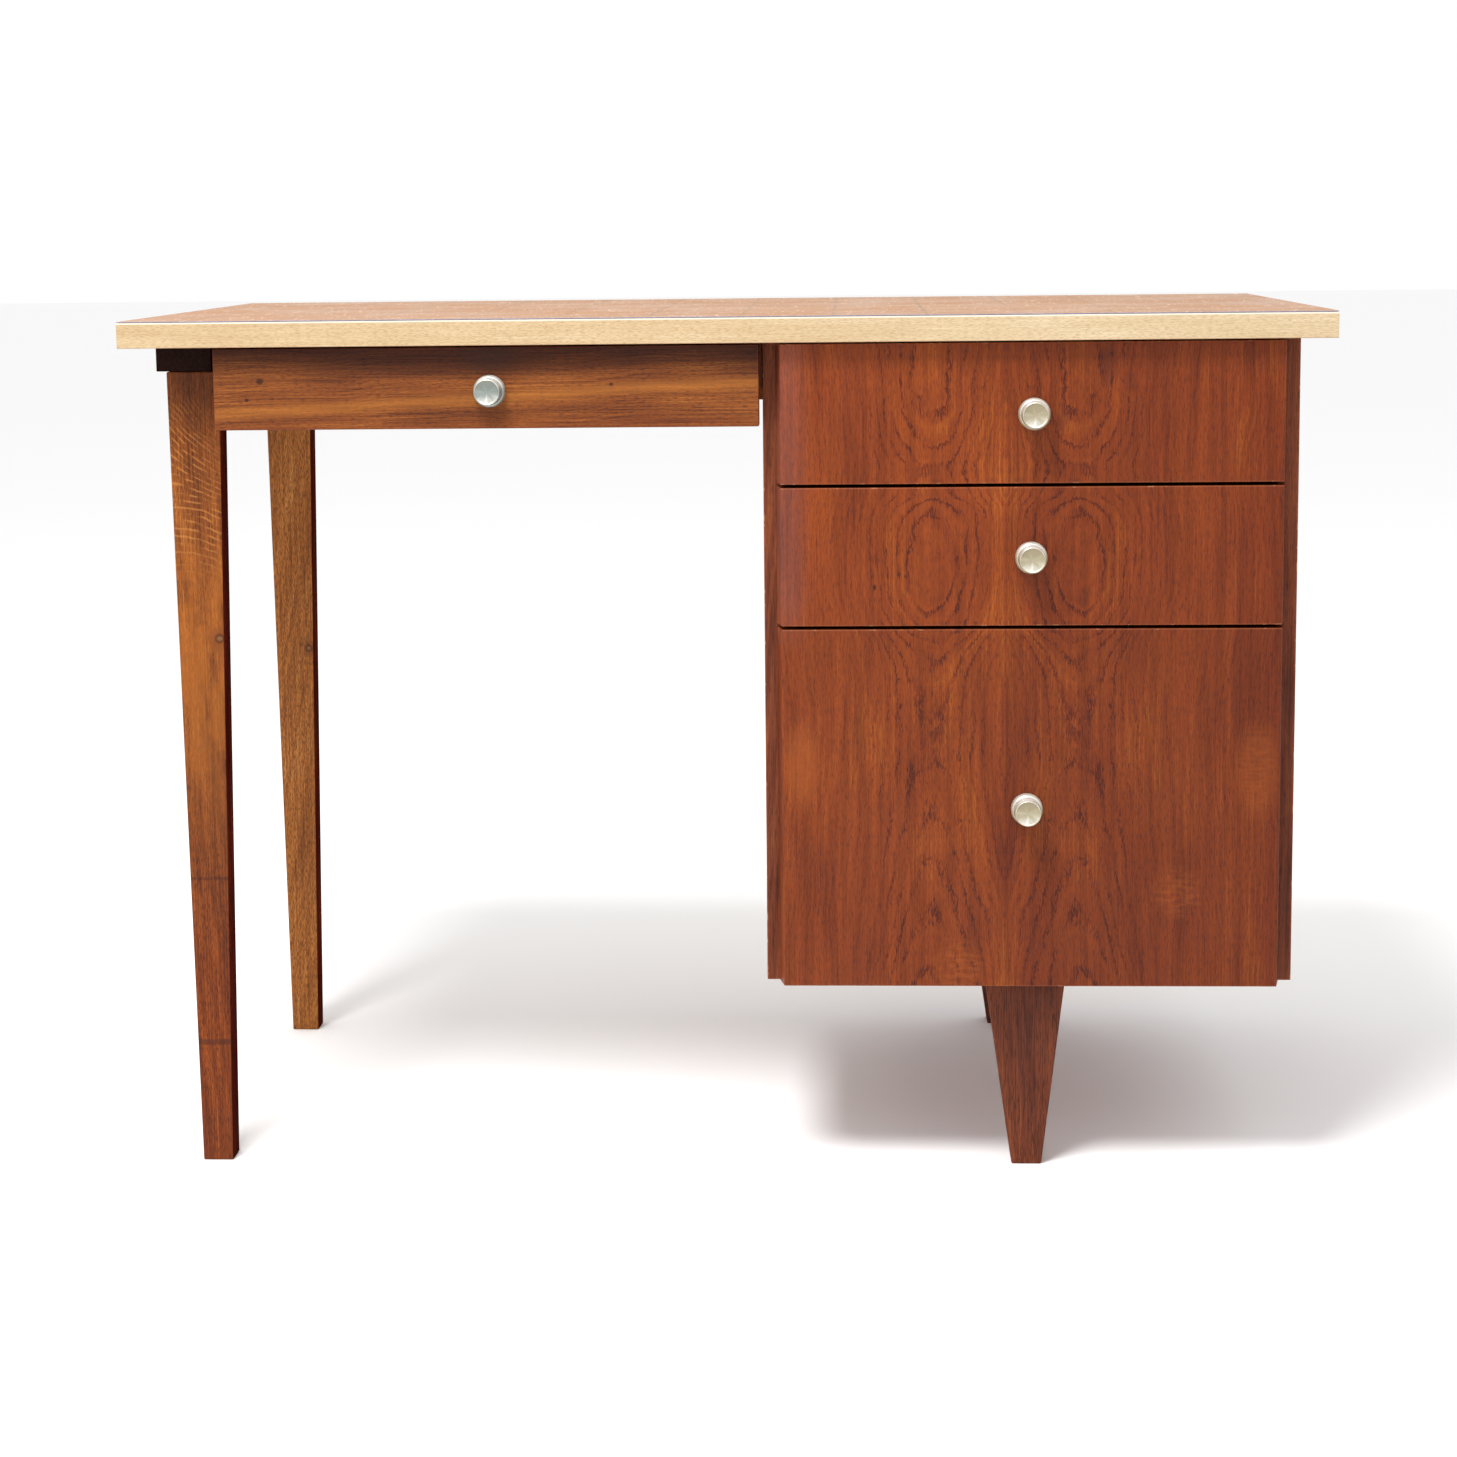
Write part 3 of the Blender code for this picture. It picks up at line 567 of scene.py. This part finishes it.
def zinc_material():
    s = Shader("screw_zinc", 0.34, 1.0)
    soil = s.mottle(300, 4)
    s.set("Base Color", s.ramp(soil, [(0.35, (0.46, 0.46, 0.44, 1.0)), (0.65, (0.62, 0.62, 0.60, 1.0))]))
    s.set("Roughness", s.smooth(soil, 0.3, 0.7, 0.28, 0.42))
    s.bump(soil, 0.00002)
    return s.material


def add_piece(name, builder, node, materials, smooth=True):
    """Makes a piece from a bmesh, in place of a CAD node and on that node's body."""
    bmesh.ops.recalc_face_normals(builder, faces=builder.faces)
    mesh = bpy.data.meshes.new(name)
    builder.to_mesh(mesh)
    builder.free()
    piece = bpy.data.objects.new(name, mesh)
    bpy.context.scene.collection.objects.link(piece)
    for material in materials:
        mesh.materials.append(material)
    if smooth:
        mesh.shade_smooth()
        weighted = piece.modifiers.new("flat_faces", "WEIGHTED_NORMAL")
        weighted.keep_sharp = False
        weighted.weight = 100
    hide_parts(node)
    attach(piece, NODE_BODY[node])
    return piece


def round_arrises(builder, radius):
    builder.normal_update()
    edges = [edge for edge in builder.edges if edge.calc_face_angle(0.0) > math.radians(20)]
    bmesh.ops.bevel(builder, geom=edges, offset=radius, segments=3, profile=0.5, affect="EDGES",
                    clamp_overlap=True)


def rounded_copy(node, materials, radius=ARRIS, front_material=None, right_material=None):
    """The CAD node's own shape with rounded arrises.

    front_material and right_material are the indices of the materials where it looks forward or right.
    """
    builder = bmesh.new()
    builder.from_mesh(frame["nodes"][node].data)
    bmesh.ops.remove_doubles(builder, verts=builder.verts, dist=0.00001)
    bmesh.ops.dissolve_limit(builder, angle_limit=math.radians(1), verts=builder.verts, edges=builder.edges)
    round_arrises(builder, radius)
    for face in builder.faces:
        face.material_index = 0
        if front_material is not None and face.normal.y < -0.5:
            face.material_index = front_material
        if right_material is not None and face.normal.x > 0.7:
            face.material_index = right_material
    add_piece(f"{node}_rounded", builder, node, materials)


def node_size(node):
    low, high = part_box(node)
    return high - low


def make_top():
    laminate_edge = plain_material("laminate_edge", linear(128, 120, 134), linear(158, 148, 160), 300, 0.45)
    low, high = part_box("top_laminate")
    builder = bmesh.new()
    fit = Matrix.Translation((low + high) / 2) @ Matrix.Diagonal((*(high - low), 1.0))
    bmesh.ops.create_cube(builder, size=1.0, matrix=fit)
    round_arrises(builder, FINE_ARRIS)
    for face in builder.faces:
        face.material_index = 0 if face.normal.z > 0.9 else 1
    add_piece("laminate_sheet", builder, "top_laminate", [laminate_material(), laminate_edge])
    bands = {"front": "X", "rear": "X", "left": "Y", "right": "Y"}
    for place, along in bands.items():
        node = f"edge_band_{place}"
        rounded_copy(node, [band_material(f"band_{place}", along, node)], 0.0005)
    rounded_copy("top_core", [chipboard_material()], 0.0003)


def front_board(node, materials, taper):
    """A drawer front: a board whose ends slope in towards its face, with rounded arrises."""
    low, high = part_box(node)
    builder = bmesh.new()
    corners = []
    for z in (low.z, high.z):
        for x, y in ((low.x + taper, low.y), (high.x - taper, low.y), (high.x, high.y), (low.x, high.y)):
            corners.append(builder.verts.new((x, y, z)))
    for ring in ((3, 2, 1, 0), (4, 5, 6, 7), (0, 1, 5, 4), (1, 2, 6, 5), (2, 3, 7, 6), (3, 0, 4, 7)):
        builder.faces.new([corners[i] for i in ring])
    round_arrises(builder, ARRIS)
    add_piece(f"{node}_board", builder, node, materials)


def make_fronts():
    for drawer in ("upper", "middle", "lower"):
        node = f"{drawer}_drawer_front"
        front_board(node, [veneer_material(f"{drawer}_front_veneer", node_size(node))], FRONT_TAPER)
    node = "centre_drawer_front"
    front_board(node, [centre_front_material(node)], 0.0)


# The centre drawer's knots: across from its left end in metres, up as a share of its height, and their size
CENTRE_KNOTS = (((0.041, 0.60), (0.0046, 0.0040)), ((0.029, 0.37), (0.0026, 0.0022)),
                ((0.3475, 0.53), (0.0028, 0.0018)))
CENTRE_RING_SPACING = 0.0040
CENTRE_GRAIN_RISE = 0.030  # of the grain, to each metre rightwards
CENTRE_GRAIN_ARCH = 0.034
STREAK_LEVEL = 0.685  # the value of centre_front_material's path along the pale streak
SMOKE_MIDDLE = -0.200  # in X, of the smoky patch along the top edge
SMOKE_HALF_WIDTH = 0.040


def centre_front_material(node):
    """Solid oak with its grain along the desk, darker towards the top partly as painted shade under the desk
    top and partly as darker wood, with small knots and a pale streak.
    """
    s = Shader("centre_front_oak")
    low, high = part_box(node)
    height_up = high.z - low.z
    x, y, z = s.place()
    rise = s.scaled(x, CENTRE_GRAIN_RISE)
    arch = s.noise(s.scaled(x, 5.5), 2.0, s.scaled(z, 6), detail=2)
    level = s.math("ADD", s.math("SUBTRACT", z, rise), s.swing(arch, CENTRE_GRAIN_ARCH))
    rings = s.scaled(level, 1 / CENTRE_RING_SPACING)
    colour, height = timber(s, z, y, x, rings, CENTRE_OAK)
    share = s.scaled(z, 1 / height_up, -low.z / height_up)
    wave = s.noise(s.scaled(x, 3.5), 0.0, s.scaled(z, 14), detail=2)
    wavy_share = s.math("ADD", share, s.swing(wave, 0.5))
    # Painted shade under the desk top's overhang, together with darker wood: darker towards the top
    dark = s.smooth(wavy_share, 0.46, 0.94)
    colour = s.mix(s.scaled(dark, 0.96), colour, linear(128, 108, 100), "MULTIPLY")
    path = s.math("ADD", share, s.math("ADD", s.scaled(x, -0.80), s.scaled(wave, 0.30)))
    streak = s.smooth(s.math("ABSOLUTE", s.math("SUBTRACT", path, STREAK_LEVEL)), 0.0, 0.12, 0.36, 0.0)
    colour = s.mix(streak, colour, linear(172, 106, 42))
    foot = s.smooth(wavy_share, 0.0, 0.20, 0.18, 0.0)
    colour = s.mix(foot, colour, linear(120, 54, 24))
    from_smoke = s.math("ABSOLUTE", s.math("SUBTRACT", x, SMOKE_MIDDLE))
    smoke = s.math("MULTIPLY", s.smooth(from_smoke, 0.0, SMOKE_HALF_WIDTH, 0.7, 0.0),
                   s.smooth(share, 0.55, 0.85))
    colour = s.mix(smoke, colour, linear(50, 26, 16))
    for place, size in CENTRE_KNOTS:
        mark = knot(s, x, z, (low.x + place[0], low.z + place[1] * height_up), size)
        colour = s.mix(s.scaled(mark, 0.85), colour, linear(48, 22, 16))
    worn = edge_share(s, node_size(node), 0.0014)
    colour = s.mix(s.scaled(worn, 0.25), colour, linear(134, 58, 40))
    s.set("Base Color", colour)
    s.bump(height, 0.00014)
    varnish(s, 0.42)
    return s.material


def make_cabinet():
    front_edge = board_material("cabinet_front_edge", EDGE_OAK, "Z", (0.3, 0.2), 0.0035, lean=(0.05, 0.02),
                                size=node_size("cabinet_side_right"), chips=0.6)
    for side, heart_y in (("left", -0.06), ("right", 0.03)):
        node = f"cabinet_side_{side}"
        face = board_material(f"{node}_veneer", SIDE_VENEER, "Z", (0.30, heart_y), 0.0052, lean=(0.02, 0.03),
                              wander=0.020, size=node_size(node), chips=0.3)
        rounded_copy(node, [face, front_edge], ARRIS, front_material=1)
    bottom = board_material("cabinet_bottom_veneer", VENEER, "X", (0.4, 0.1), 0.0036, wander=0.014)
    rounded_copy("cabinet_bottom", [bottom], ARRIS)
    back = board_material("cabinet_back_ply", PALE, "Z", (0.30, 0.36), 0.0030, lean=(0.05, 0.03),
                          wander=0.022, roughness=0.62)
    rounded_copy("cabinet_back", [back], FINE_ARRIS)


# The figure of the front support leg, as heights above the floor
RAYS_LOW = 0.525
RAYS_HIGH = 0.710
RAY_PITCH = 0.0062  # between the silky rays that cross the grain
FADE_LEVEL = 0.64  # where the rays start to fade at their axis: left of it above this, right of it below
# The painted shade at the leg's top: from where it starts to where it is full
HEAD_PAINTED_SHADE = (0.60, 0.70)
FLAME_RISE = (0.26, 0.44)
FLAME_FALL = (0.53, 0.58)
FOOT_SHADE = (0.14, 0.40)

MARK_HALF_WIDTH = 0.0028  # of the dark lines across a leg
MARK_WAVER = 0.006
KNOT_HALO = (1.9, 2.6)  # the stained wood round a knot, across and up, in the knot's own size
KNOT_CORE = (0.62, 0.5)  # the pale core of a knot, likewise


def front_leg_figure(s, colour, point, axis):
    """Silky rays that bow about x = axis, with painted shade at its head, an orange flame and a redder foot.
    """
    x, y, z = point
    off = s.math("SUBTRACT", x, axis)
    steep = s.smooth(z, RAYS_LOW + 0.06, RAYS_HIGH - 0.02, 0.15, 1.20)
    curved = s.math("MULTIPLY", s.math("MULTIPLY", off, off), 5.0)
    bow = s.math("ADD", s.math("MULTIPLY", off, steep), curved)
    level = s.scaled(s.math("ADD", z, bow), 1 / RAY_PITCH)
    uneven = s.noise(s.scaled(x, 24), y, s.scaled(z, 20), detail=2)
    level = s.math("ADD", level, s.scaled(uneven, 3.0))
    ray = s.math("ABSOLUTE", s.scaled(s.math("FRACT", level), 1.0, -0.5))
    some = s.noise(s.scaled(x, 60), s.scaled(y, 60), s.scaled(z, 190), detail=3)
    ray = s.math("MULTIPLY", s.smooth(ray, 0.03, 0.22, 1.0, 0.0), s.smooth(some, 0.40, 0.58, 0.1, 1.0))
    span = s.math("MULTIPLY", s.smooth(z, RAYS_LOW, RAYS_LOW + 0.05),
                  s.smooth(z, RAYS_HIGH - 0.05, RAYS_HIGH, 1.0, 0.0))
    leftward = s.math("ADD", s.scaled(off, 22), s.scaled(z, 6, -6 * FADE_LEVEL))
    leftward = s.smooth(leftward, 0.0, 0.9, 1.0, 0.15)
    ray = s.math("MULTIPLY", ray, s.math("MULTIPLY", span, leftward))
    # Painted shade: darker towards the leg's top, below the cleat
    colour = s.mix(s.smooth(z, *HEAD_PAINTED_SHADE, 0.0, 0.70), colour, linear(200, 188, 180), "MULTIPLY")
    colour = s.mix(s.scaled(ray, 0.42), colour, linear(190, 126, 62))
    flame = s.math("MULTIPLY", s.smooth(z, *FLAME_RISE), s.smooth(z, *FLAME_FALL, 1.0, 0.0))
    patchy = s.noise(s.scaled(x, 60), s.scaled(y, 60), s.scaled(z, 24), detail=5)
    flame = s.math("MULTIPLY", flame, s.smooth(patchy, 0.34, 0.62, 0.05, 0.50))
    colour = s.mix(flame, colour, linear(166, 95, 32))
    return s.mix(s.smooth(z, *FOOT_SHADE, 0.75, 0.0), colour, linear(224, 180, 158), "MULTIPLY")


def leg_material(name, heart, lean, look, knots, marks=(), rays_axis=None):
    """Oak along a leg. knots are (x, z, size), and marks are the heights of dark lines across it.

    rays_axis is given for the front leg, and is the x that its silky rays bow about.
    """
    s = Shader(name)
    x, y, z = s.place()
    rings = rings_about(s, x, y, z, heart, 0.0034, lean, 0.005)
    colour, height = timber(s, x, y, z, rings, look)
    if rays_axis is not None:
        colour = front_leg_figure(s, colour, (x, y, z), rays_axis)
    for place_x, place_z, size in knots:
        place = (place_x, place_z)
        halo = knot(s, x, z, place, (size * KNOT_HALO[0], size * KNOT_HALO[1]))
        colour = s.mix(s.scaled(halo, 0.45), colour, linear(92, 44, 20))
        colour = s.mix(s.scaled(knot(s, x, z, place, (size, size)), 0.85), colour, linear(60, 28, 16))
        core = knot(s, x, z, place, (size * KNOT_CORE[0], size * KNOT_CORE[1]))
        colour = s.mix(s.scaled(core, 0.8), colour, linear(126, 84, 54))
    for level in marks:
        waver = s.swing(s.noise(s.scaled(x, 60), 0.0, 0.0), MARK_WAVER)
        off = s.math("ABSOLUTE", s.math("SUBTRACT", s.math("ADD", z, waver), level))
        colour = s.mix(s.smooth(off, 0.0, MARK_HALF_WIDTH, 0.55, 0.0), colour, linear(58, 26, 18))
    s.set("Base Color", colour)
    s.bump(height, 0.00016)
    varnish(s, 0.46)
    return s.material


def make_support():
    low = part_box("support_leg_front")[0]
    # The legs' inner sides get a darker oak as painted shade
    side = board_material("leg_inner_face_painted_shade", MAROON_PAINTED_SHADE_OAK, "Z", (0.1, 0.3), 0.0034, lean=(0.03, 0.02),
                          specular=0.0)
    front = leg_material("front_leg_oak", (low.x - 0.05, 0.10), (0.03, 0.02), FRONT_LEG_OAK,
                         knots=((low.x + 0.0395, 0.480, 0.0062),), marks=(0.262, 0.112, 0.1095),
                         rays_axis=low.x + 0.016)
    rounded_copy("support_leg_front", [front, side], LEG_ARRIS, right_material=1)
    rear = leg_material("rear_leg_oak", (low.x + 0.12, 0.42), (0.12, 0.05), REAR_OAK,
                        knots=((low.x + 0.0375, 0.408, 0.0055),))
    rounded_copy("support_leg_rear", [rear, side], LEG_ARRIS, right_material=1)
    # Near-black brown all over the cleat, matte
    cleat = plain_material("cleat_near_black", linear(28, 17, 15), linear(40, 27, 24), 60, 0.70,
                           stretch=(6, 1, 6), specular=0.0)
    rounded_copy("support_cleat", [cleat], ARRIS)
    side_rail = board_material("side_rail_oak", OAK, "Y", (-0.4, 0.5), 0.004)
    rounded_copy("support_side_rail", [side_rail], ARRIS)
    rear_rail = board_material("rear_rail_oak", OAK, "X", (0.35, 0.55), 0.004)
    rounded_copy("rear_rail", [rear_rail], ARRIS)


def make_cabinet_legs():
    for place in ("front", "rear"):
        node = f"cabinet_leg_{place}"
        material = board_material(f"{node}_oak", DARK_OAK, "Z", (0.18, 0.05), 0.0032, lean=(0.06, 0.03))
        rounded_copy(node, [material], LEG_ARRIS)


# The wood of the parts whose names hold these words
INSIDES = {
    "runner_": dict(look=PALE, along="Y", heart=(0.3, 0.9), spacing=0.005, roughness=0.6),
    "cabinet_rail_": dict(look=PALE, along="X", heart=(0.3, 0.9), spacing=0.005, roughness=0.6),
    "drawer_hanger_": dict(look=DARK_OAK, along="Y", heart=(0.3, 0.9), spacing=0.004),
    "_drawer_side_": dict(look=PALE, along="Y", heart=(0.1, 0.2), spacing=0.005, wander=0.02, roughness=0.6),
    "_drawer_back": dict(look=PALE, along="X", heart=(0.1, 0.4), spacing=0.005, wander=0.02, roughness=0.6),
    "_drawer_bottom": dict(look=PALE, along="X", heart=(0.4, 0.3), spacing=0.008, wander=0.03,
                           roughness=0.65),
}


def make_insides():
    """Runners, hangers, rails and drawer boxes. The cabinet's rails keep their CAD shape."""
    for node in frame["nodes"]:
        for words, wood in INSIDES.items():
            if words in node:
                material = board_material(f"{node}_wood", **wood)
                if words == "cabinet_rail_":
                    assign(node, material)
                else:
                    rounded_copy(node, [material], FINE_ARRIS)


def assign(node, material):
    """Gives a CAD node that stays in view its material."""
    mesh = frame["nodes"][node].data
    mesh.materials.clear()
    mesh.materials.append(material)


KNOB_SEGMENTS = 96


def turned_piece(node, profile, material, seat):
    """A lathed piece. The profile runs from axis to axis, as (radius, distance forwards from the seat)."""
    builder = bmesh.new()
    turn = Vector((0, 0, 1)).rotation_difference(Vector((0, -1, 0))).to_matrix().to_4x4()
    rings = []
    for radius, distance in profile:
        count = 1 if radius == 0 else KNOB_SEGMENTS
        ring = []
        for step in range(count):
            angle = 2 * math.pi * step / count
            ring.append(builder.verts.new((radius * math.cos(angle), radius * math.sin(angle), distance)))
        rings.append(ring)
    for ring, following in zip(rings, rings[1:]):
        for step in range(KNOB_SEGMENTS):
            after = step + 1
            corners = [ring[step % len(ring)], ring[after % len(ring)],
                       following[after % len(following)], following[step % len(following)]]
            builder.faces.new(list(dict.fromkeys(corners)))
    bmesh.ops.transform(builder, matrix=Matrix.Translation(seat) @ turn, verts=builder.verts)
    piece = add_piece(f"{node}_turned", builder, node, [material], smooth=False)
    piece.data.shade_smooth()
    piece.data.set_sharp_from_angle(angle=math.radians(40))


def arc(centre, radius, start, end, steps):
    """Points on an arc of a profile, with angles in degrees from the outward radius towards the face."""
    for step in range(steps + 1):
        angle = math.radians(start + (end - start) * step / steps)
        yield centre[0] + radius * math.cos(angle), centre[1] + radius * math.sin(angle)


KNOB_HOLE_RADIUS = 0.0024
KNOB_HOLE_DEPTH = 0.012
KNOB_SHOULDER = 0.0044  # the radius of the base's rounded shoulder
KNOB_RIM = 0.0007  # the radius of the rolled rim
KNOB_DISH = 0.0021  # the dish's depth
FLARE_STEPS = 9


def knob_profile(base, length):
    """A wide base with a rounded shoulder, a tapering flare, and a conical dish inside a thin rim."""
    face = base * 0.805
    neck = base * 0.76
    profile = [(0, KNOB_HOLE_DEPTH), (KNOB_HOLE_RADIUS, KNOB_HOLE_DEPTH), (KNOB_HOLE_RADIUS, 0)]
    profile += [(base - 0.0006, 0), (base - 0.0001, 0.0005)]
    profile += list(arc((base - KNOB_SHOULDER, KNOB_SHOULDER), KNOB_SHOULDER, 0, 58, 14))
    start_radius, start = profile[-1]
    end = length * 0.50
    for step in range(1, FLARE_STEPS + 1):
        t = step / FLARE_STEPS
        profile.append((neck + (start_radius - neck) * (1 - t) ** 1.8, start + (end - start) * t))
    profile += [(neck, length - 0.0060), (face - 0.0004, length - 0.0034), (face, length - 0.0024)]
    profile += list(arc((face - KNOB_RIM, length - KNOB_RIM), KNOB_RIM, 0, 90, 5))
    inner = face - 0.0011
    profile += [(inner, length - 0.0001), (inner - 0.0004, length - 0.0005)]
    lip = length - 0.0006
    for t in (0.05, 0.2, 0.35, 0.5, 0.65, 0.8, 0.95):
        profile.append(((inner - 0.0005) * (1 - t), lip - KNOB_DISH * t))
    return profile + [(0, lip - KNOB_DISH)]


def make_knobs():
    nickel = turned_metal("knob_nickel")
    cool_nickel = turned_metal("centre_knob_nickel", COOL_SHADE, COOL_METAL)
    zinc = zinc_material()
    for node in frame["nodes"]:
        if node.endswith("_drawer_knob"):
            low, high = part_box(node)
            middle = (low + high) / 2
            seat = Vector((middle.x, high.y, middle.z))
            metal = cool_nickel if node.startswith("centre") else nickel
            turned_piece(node, knob_profile((high.x - low.x) / 2, high.y - low.y), metal, seat)
        elif NODE_SLOT[node] == "steel":
            assign(node, zinc)


FLOOR_HALF_SIZE = 30.0
FLOOR_PAINT = (0.94, 0.94, 0.94, 1.0)


def make_floor():
    builder = bmesh.new()
    bmesh.ops.create_grid(builder, x_segments=1, y_segments=1, size=FLOOR_HALF_SIZE)
    mesh = bpy.data.meshes.new("floor")
    builder.to_mesh(mesh)
    builder.free()
    floor = bpy.data.objects.new("floor", mesh)
    s = Shader("floor_paint", 0.9)
    s.set("Base Color", FLOOR_PAINT)
    mesh.materials.append(s.material)
    bpy.context.scene.collection.objects.link(floor)


def area_light(name, place, target, size, power):
    light = bpy.data.lights.new(name, "AREA")
    light.shape = "DISK"
    light.size = size
    light.energy = power
    lamp = bpy.data.objects.new(name, light)
    lamp.location = place
    lamp.rotation_euler = (Vector(target) - Vector(place)).to_track_quat("-Z", "Y").to_euler()
    bpy.context.scene.collection.objects.link(lamp)


def make_studio():
    world = bpy.data.worlds.new("studio")
    world.use_nodes = True
    background = world.node_tree.nodes["Background"]
    background.inputs["Color"].default_value = (1.0, 1.0, 1.0, 1.0)
    background.inputs["Strength"].default_value = 1.0
    bpy.context.scene.world = world
    area_light("key", place=(-0.7, -1.6, 3.3), target=(0.1, -0.2, 0.45), size=1.1, power=110)
    bpy.context.scene.view_settings.view_transform = "Standard"


def make_camera():
    camera_data = bpy.data.cameras.new("camera")
    camera_data.sensor_width = 36.0
    camera_data.lens = CAMERA_LENS
    camera_data.shift_x, camera_data.shift_y = CAMERA_SHIFT
    right = Vector((math.cos(CAMERA_YAW), math.sin(CAMERA_YAW), 0))
    level = Vector((-math.sin(CAMERA_YAW), math.cos(CAMERA_YAW), 0))
    up = Vector((0, 0, 1))
    forward = level * math.cos(CAMERA_PITCH) - up * math.sin(CAMERA_PITCH)
    over = up * math.cos(CAMERA_PITCH) + level * math.sin(CAMERA_PITCH)
    tilted_right = right * math.cos(CAMERA_ROLL) + over * math.sin(CAMERA_ROLL)
    tilted_up = over * math.cos(CAMERA_ROLL) - right * math.sin(CAMERA_ROLL)
    turn = Matrix((tilted_right, tilted_up, -forward)).transposed().to_4x4()
    front_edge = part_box("top_laminate")[0].y
    place = Vector((CAMERA_PLACE[0], front_edge + CAMERA_PLACE[1], CAMERA_HEIGHT))
    camera = bpy.data.objects.new("camera", camera_data)
    camera.matrix_world = Matrix.Translation(place) @ turn
    bpy.context.scene.collection.objects.link(camera)
    bpy.context.scene.camera = camera


make_camera()
make_studio()
make_floor()
make_top()
make_cabinet()
make_fronts()
make_support()
make_cabinet_legs()
make_insides()
make_knobs()
